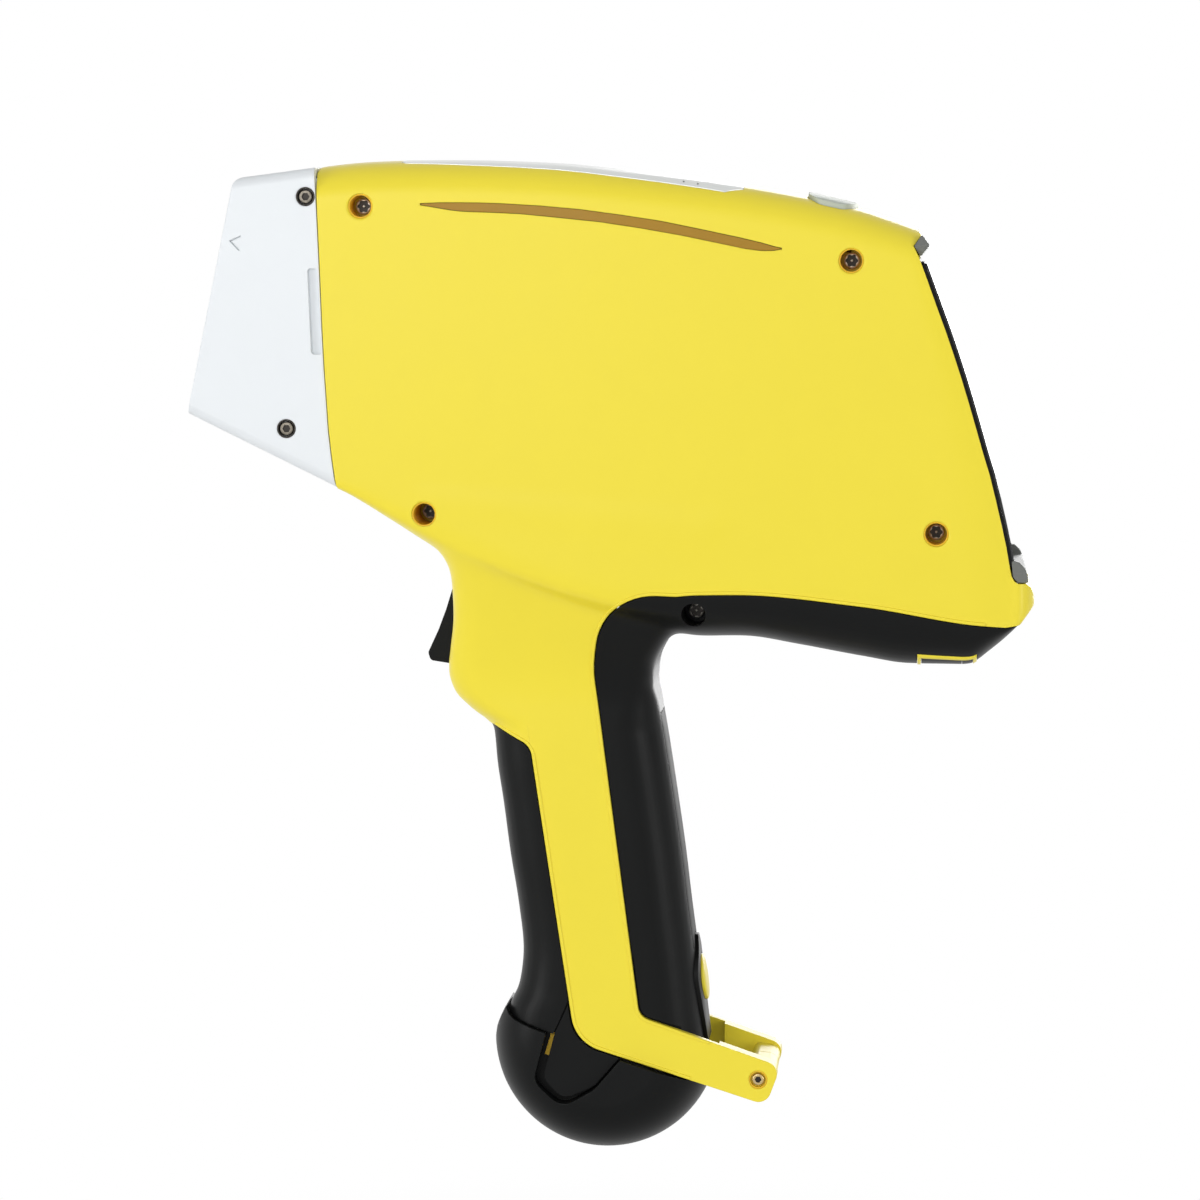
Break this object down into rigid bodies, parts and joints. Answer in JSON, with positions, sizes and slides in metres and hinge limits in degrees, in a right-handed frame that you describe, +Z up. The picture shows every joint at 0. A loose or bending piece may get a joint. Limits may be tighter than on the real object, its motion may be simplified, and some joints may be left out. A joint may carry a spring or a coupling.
{
  "type": "handheld xrf analyzer",
  "caption": "Pistol-shaped handheld X-ray analyzer: box body with measuring nose, tilted rear display, trigger grip and a slide-out battery foot behind a guard loop.",
  "frame": {"origin": "middle of the grip, on the parting plane, where a hand closes around it", "axes": "+Z up along the instrument's height, -X forward out of the measuring nose, +X towards the operator and the display, -Y the instrument's left side"},
  "size_m": [0.2702, 0.087, 0.325],
  "materials": {
    "yellow": "satin bright yellow, fine grain",
    "black": "satin black, fine grain",
    "silver_paint": "satin silver-white paint",
    "brushed_plate": "brushed",
    "amber": "dark amber lens",
    "grey": "matte grey",
    "button_grey": "soft light grey",
    "glass": "dark polished glass",
    "steel": "dark plated steel",
    "aluminium": "machined",
    "board_green": "solder mask",
    "film": "amber window film",
    "copper": "bright metal"
  },
  "bodies": {
    "instrument": {"housing_left": "yellow", "housing_right": "yellow", "housing_screw_upper_front": "steel", "housing_screw_upper_rear": "steel", "housing_screw_lower_rear": "steel", "housing_screw_lower_front": "steel", "loop_screw": "steel", "rear_cover": "black", "cover_screw": "steel", "palm_strip": "black", "latch_cover": "black", "front_grip": "black", "handle_core": "black", "terminal_block": "black", "nose_housing": "silver_paint", "nose_plate": "silver_paint", "window_film": "film", "window_ring": "aluminium", "nose_screw_upper_left": "steel", "nose_screw_upper_right": "steel", "nose_screw_lower_left": "steel", "nose_screw_lower_right": "steel", "front_frame": "aluminium", "measuring_head": "aluminium", "filter_motor": "steel", "xray_tube": "steel", "tube_clamp": "aluminium", "detector": "steel", "camera_module": "black", "chassis": "aluminium", "hv_supply": "grey", "main_board": "board_green", "power_board": "board_green", "buzzer": "black", "heat_sink": "aluminium", "top_plate": "brushed_plate", "light_lens_left": "amber", "light_lens_right": "amber", "light_board_left": "board_green", "light_board_right": "board_green", "button_board": "board_green", "display_frame": "grey", "display_bezel": "black", "display_glass": "glass", "screen_panel": "glass", "display_board": "board_green", "port_trim": "yellow", "port_block": "black", "trigger_pin": "steel", "trigger_switch": "black"},
    "trigger": {"trigger": "black"},
    "latch": {"latch_button": "yellow"},
    "battery": {"battery_pack": "black", "battery_foot": "black", "battery_contacts": "copper"},
    "top_button": {"top_button": "button_grey"},
    "port_door": {"port_door": "black"},
    "filter_wheel": {"filter_wheel": "copper"}
  },
  "joints": [
    {"name": "trigger_pull", "type": "hinge", "parent": "instrument", "child": "trigger", "pos_m": [-0.0395, 0, 0.085], "axis": [0, -1, 0], "range_deg": [0, 8], "stiffness_Nm_per_rad": 0.1, "springref_deg": -2.86},
    {"name": "latch_press", "type": "slide", "parent": "instrument", "child": "latch", "axis": [-0.9898, 0, -0.1426], "range_m": [0, 0.0012], "stiffness_N_per_m": 400, "springref_m": -0.0005},
    {"name": "battery_slide", "type": "slide", "parent": "instrument", "child": "battery", "axis": [0.1426, 0, -0.9898], "range_m": [0, 0.11]},
    {"name": "top_button_press", "type": "slide", "parent": "instrument", "child": "top_button", "axis": [-0.2361, 0, -0.9717], "range_m": [0, 0.0008], "stiffness_N_per_m": 500, "springref_m": -0.0004},
    {"name": "port_door_open", "type": "hinge", "parent": "instrument", "child": "port_door", "pos_m": [0.1201, 0, 0.0584], "axis": [0, -1, 0], "range_deg": [0, 90]},
    {"name": "filter_wheel_spin", "type": "hinge", "parent": "instrument", "child": "filter_wheel", "pos_m": [-0.0998, 0, 0.18712], "axis": [0.9984, 0, 0.0567], "continuous": true}
  ]
}
